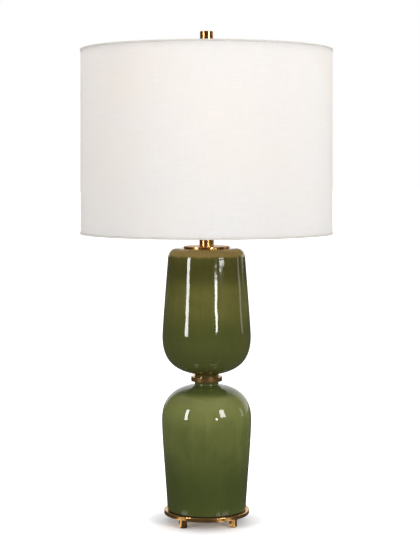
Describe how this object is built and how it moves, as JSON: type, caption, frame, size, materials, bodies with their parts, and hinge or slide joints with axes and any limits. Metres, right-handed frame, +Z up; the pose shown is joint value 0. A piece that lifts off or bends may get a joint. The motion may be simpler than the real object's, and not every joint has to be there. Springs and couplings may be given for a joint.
{
  "type": "ginger jar lamp",
  "caption": "Table lamp of two stacked glazed ceramic jars with a brass waist ring and footed brass disc, under a white drum shade with harp and finial.",
  "frame": {"origin": "on the table top, under the lamp's axis, at the soles of the feet", "axes": "+Z up along the lamp's axis; -Y is the front, where the switch knob points; the harp lies in the XZ plane"},
  "size_m": [0.3861, 0.3862, 0.7546],
  "materials": {
    "brass": "antique brass, brushed and lacquered",
    "jar_glaze": "glossy olive green glaze, slightly mottled",
    "steel": "zinc plated",
    "rubber": "matt",
    "bushing_plastic": "moulded",
    "harp_metal": "brass plated, satin",
    "shade_wire": "white powder coat",
    "shade_linen": "white linen, slub weave",
    "shade_trim": "white linen tape, folded over the rim",
    "shade_lining": "white translucent hardback",
    "socket_brass": "bright brass",
    "socket_card": "pressed card",
    "moulded_plastic": "dark moulded plastic",
    "bulb_glass": "frosted white glass",
    "stem_glass": "clear",
    "bulb_metal": "bright",
    "bulb_insulator": "black vitrified"
  },
  "bodies": {
    "base": {"foot_pads": "rubber", "feet": "brass", "foot_screws": "steel", "base_disc": "brass", "base_washer": "steel", "lock_washer": "steel", "base_nut": "steel", "cord_bushing": "bushing_plastic", "threaded_pipe": "steel", "base_gasket": "rubber", "lower_centring_plate": "steel", "lower_jar": "jar_glaze", "neck_gaskets": "rubber", "waist_ring": "brass", "upper_jar": "jar_glaze", "cap_disc": "brass", "neck_tube": "brass", "neck_top_ring": "brass", "neck_locknut": "steel", "harp_saddle": "harp_metal", "socket_cap": "socket_brass", "socket_shell": "socket_brass", "socket_liner": "socket_card", "socket_body": "moulded_plastic", "terminal_screws": "steel", "screw_shell": "socket_brass", "centre_contact": "socket_brass"},
    "switch_key": {"switch_spindle": "steel", "switch_rotor": "moulded_plastic", "switch_knob": "moulded_plastic"},
    "harp": {"harp_bow": "harp_metal", "harp_stud": "harp_metal"},
    "ferrule_left": {"harp_ferrule_left": "harp_metal"},
    "ferrule_right": {"harp_ferrule_right": "harp_metal"},
    "shade_seat": {"seat_washer": "brass"},
    "shade": {"spider_hub": "shade_wire", "spider_arms": "shade_wire", "shade_top_ring": "shade_wire", "shade_bottom_ring": "shade_wire", "shade_liner": "shade_lining", "shade_fabric": "shade_linen", "shade_top_trim": "shade_trim", "shade_bottom_trim": "shade_trim"},
    "finial_screw": {"finial_base": "brass"},
    "finial": {"finial_knob": "brass"},
    "bulb_screw": {"bulb_contact": "bulb_metal", "bulb_insulator": "bulb_insulator"},
    "bulb": {"bulb_cap": "bulb_metal", "bulb_glass": "bulb_glass", "bulb_stem": "stem_glass", "bulb_filament": "bulb_metal"}
  },
  "joints": [
    {"name": "switch_turn", "type": "hinge", "parent": "base", "child": "switch_key", "pos_m": [0, -0.0185, 0.5111], "axis": [0, 1, 0], "continuous": true},
    {"name": "harp_lift", "type": "slide", "parent": "base", "child": "harp", "axis": [0, 0, 1], "range_m": [0, 0.03]},
    {"name": "ferrule_left_lift", "type": "slide", "parent": "harp", "child": "ferrule_left", "axis": [0, 0, 1], "range_m": [0, 0.016]},
    {"name": "ferrule_right_lift", "type": "slide", "parent": "harp", "child": "ferrule_right", "axis": [0, 0, 1], "range_m": [0, 0.016]},
    {"name": "shade_lift", "type": "slide", "parent": "harp", "child": "shade_seat", "axis": [0, 0, 1], "range_m": [0, 0.3]},
    {"name": "shade_turn", "type": "hinge", "parent": "shade_seat", "child": "shade", "pos_m": [0, 0, 0.715], "axis": [0, 0, 1], "continuous": true},
    {"name": "finial_rise", "type": "slide", "parent": "shade_seat", "child": "finial_screw", "axis": [0, 0, 1], "range_m": [0, 0.01129]},
    {"name": "finial_turn", "type": "hinge", "parent": "finial_screw", "child": "finial", "pos_m": [0, 0, 0.7284], "axis": [0, 0, 1], "range_deg": [0, 4320]},
    {"name": "bulb_rise", "type": "slide", "parent": "base", "child": "bulb_screw", "axis": [0, 0, 1], "range_m": [0, 0.01451]},
    {"name": "bulb_turn", "type": "hinge", "parent": "bulb_screw", "child": "bulb", "pos_m": [0, 0, 0.5316], "axis": [0, 0, 1], "range_deg": [0, 1440]}
  ],
  "couplings": [
    {"joint": "finial_turn", "follows": "finial_rise", "rad_per_m": 6679.3},
    {"joint": "bulb_turn", "follows": "bulb_rise", "rad_per_m": 1731.6}
  ]
}
